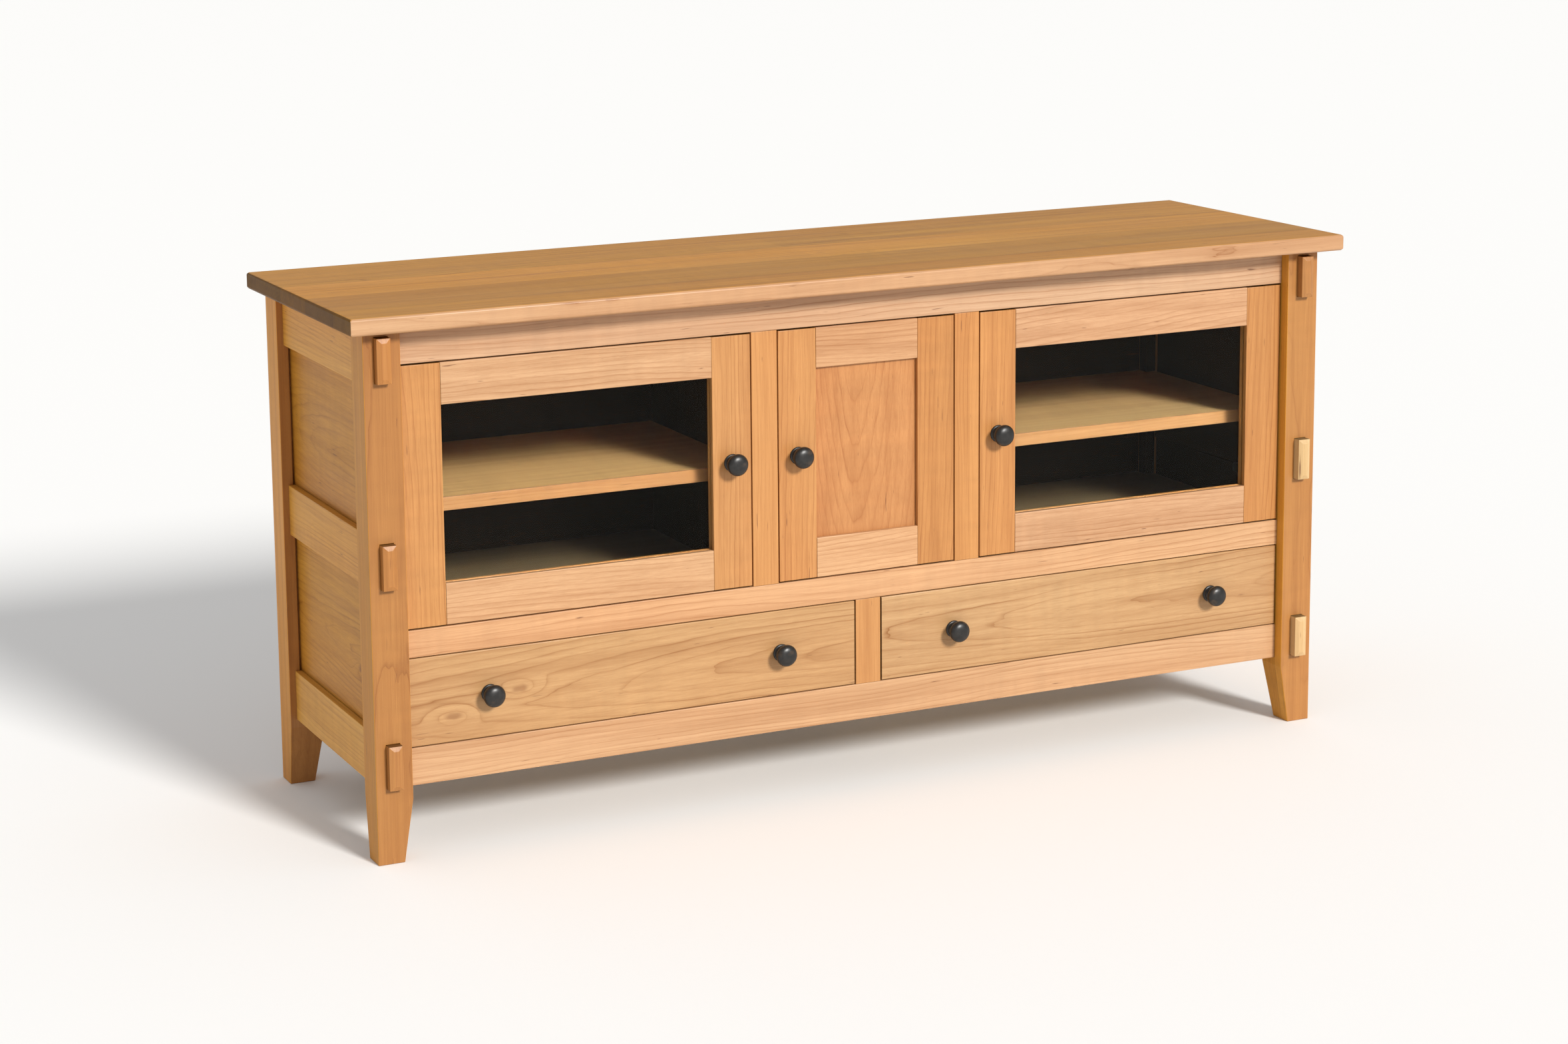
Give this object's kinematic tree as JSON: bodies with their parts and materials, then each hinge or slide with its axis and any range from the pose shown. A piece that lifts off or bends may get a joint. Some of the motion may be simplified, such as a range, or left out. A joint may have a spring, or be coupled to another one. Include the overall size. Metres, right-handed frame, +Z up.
{
  "type": "console television cabinet",
  "caption": "Low cherry media console on tapered legs, glazed doors at both ends, panelled door between them, drawers below and through-tenon blocks on the front legs.",
  "frame": {"origin": "on the floor, under the middle of the top", "axes": "+Z up, front towards -Y, length along X"},
  "size_m": [1.575, 0.473, 0.762],
  "materials": {
    "top_cherry": "satin oiled cherry, glued up from lengthwise boards",
    "leg_cherry": "satin oiled cherry, straight grain",
    "frame_cherry": "satin oiled cherry, pale straight grain",
    "side_cherry": "satin oiled cherry, horizontal grain",
    "front_cherry": "satin oiled cherry, cathedral grain",
    "interior_wood": "satin cherry plywood with a solid front edge",
    "drawer_wood": "matt sanded maple",
    "knob_bronze": "satin dark bronze",
    "door_glass": "clear float glass"
  },
  "bodies": {
    "cabinet": {"top_slab": "top_cherry", "leg_front_left": "leg_cherry", "leg_rear_left": "leg_cherry", "side_rail_bottom_left": "side_cherry", "side_rail_middle_left": "side_cherry", "side_rail_top_left": "side_cherry", "side_panel_lower_left": "side_cherry", "side_panel_upper_left": "side_cherry", "door_mullion_left": "frame_cherry", "partition_left": "interior_wood", "shelf_left": "interior_wood", "drawer_left_runner": "interior_wood", "leg_front_right": "leg_cherry", "leg_rear_right": "leg_cherry", "side_rail_bottom_right": "side_cherry", "side_rail_middle_right": "side_cherry", "side_rail_top_right": "side_cherry", "side_panel_lower_right": "side_cherry", "side_panel_upper_right": "side_cherry", "door_mullion_right": "frame_cherry", "partition_right": "interior_wood", "shelf_right": "interior_wood", "drawer_right_runner": "interior_wood", "frame_rail_top": "frame_cherry", "frame_rail_middle": "frame_cherry", "frame_rail_bottom": "frame_cherry", "drawer_mullion": "frame_cherry", "bay_floor": "interior_wood", "back_panel": "interior_wood", "back_rail_top": "side_cherry", "back_rail_bottom": "side_cherry"},
    "door_left": {"door_left_stile_hinge": "frame_cherry", "door_left_stile_latch": "frame_cherry", "door_left_rail_top": "frame_cherry", "door_left_rail_bottom": "frame_cherry", "door_left_glass": "door_glass", "door_left_knob": "knob_bronze"},
    "door_centre": {"door_centre_stile_hinge": "frame_cherry", "door_centre_stile_latch": "frame_cherry", "door_centre_rail_top": "frame_cherry", "door_centre_rail_bottom": "frame_cherry", "door_centre_panel": "front_cherry", "door_centre_knob": "knob_bronze"},
    "door_right": {"door_right_stile_hinge": "frame_cherry", "door_right_stile_latch": "frame_cherry", "door_right_rail_top": "frame_cherry", "door_right_rail_bottom": "frame_cherry", "door_right_glass": "door_glass", "door_right_knob": "knob_bronze"},
    "drawer_left": {"drawer_left_front": "front_cherry", "drawer_left_box": "drawer_wood", "drawer_left_bottom": "drawer_wood", "drawer_left_knob_a": "knob_bronze", "drawer_left_knob_b": "knob_bronze"},
    "drawer_right": {"drawer_right_front": "front_cherry", "drawer_right_box": "drawer_wood", "drawer_right_bottom": "drawer_wood", "drawer_right_knob_a": "knob_bronze", "drawer_right_knob_b": "knob_bronze"}
  },
  "joints": [
    {"name": "door_left_hinge", "type": "hinge", "parent": "cabinet", "child": "door_left", "pos_m": [-0.7085, -0.1905, 0.5], "axis": [0, 0, -1], "range_deg": [0, 95]},
    {"name": "door_centre_hinge", "type": "hinge", "parent": "cabinet", "child": "door_centre", "pos_m": [0.1425, -0.1905, 0.5], "axis": [0, 0, 1], "range_deg": [0, 95]},
    {"name": "door_right_hinge", "type": "hinge", "parent": "cabinet", "child": "door_right", "pos_m": [0.7085, -0.1905, 0.5], "axis": [0, 0, 1], "range_deg": [0, 95]},
    {"name": "drawer_left_slide", "type": "slide", "parent": "cabinet", "child": "drawer_left", "axis": [0, -1, 0], "range_m": [0, 0.3]},
    {"name": "drawer_right_slide", "type": "slide", "parent": "cabinet", "child": "drawer_right", "axis": [0, -1, 0], "range_m": [0, 0.3]}
  ]
}
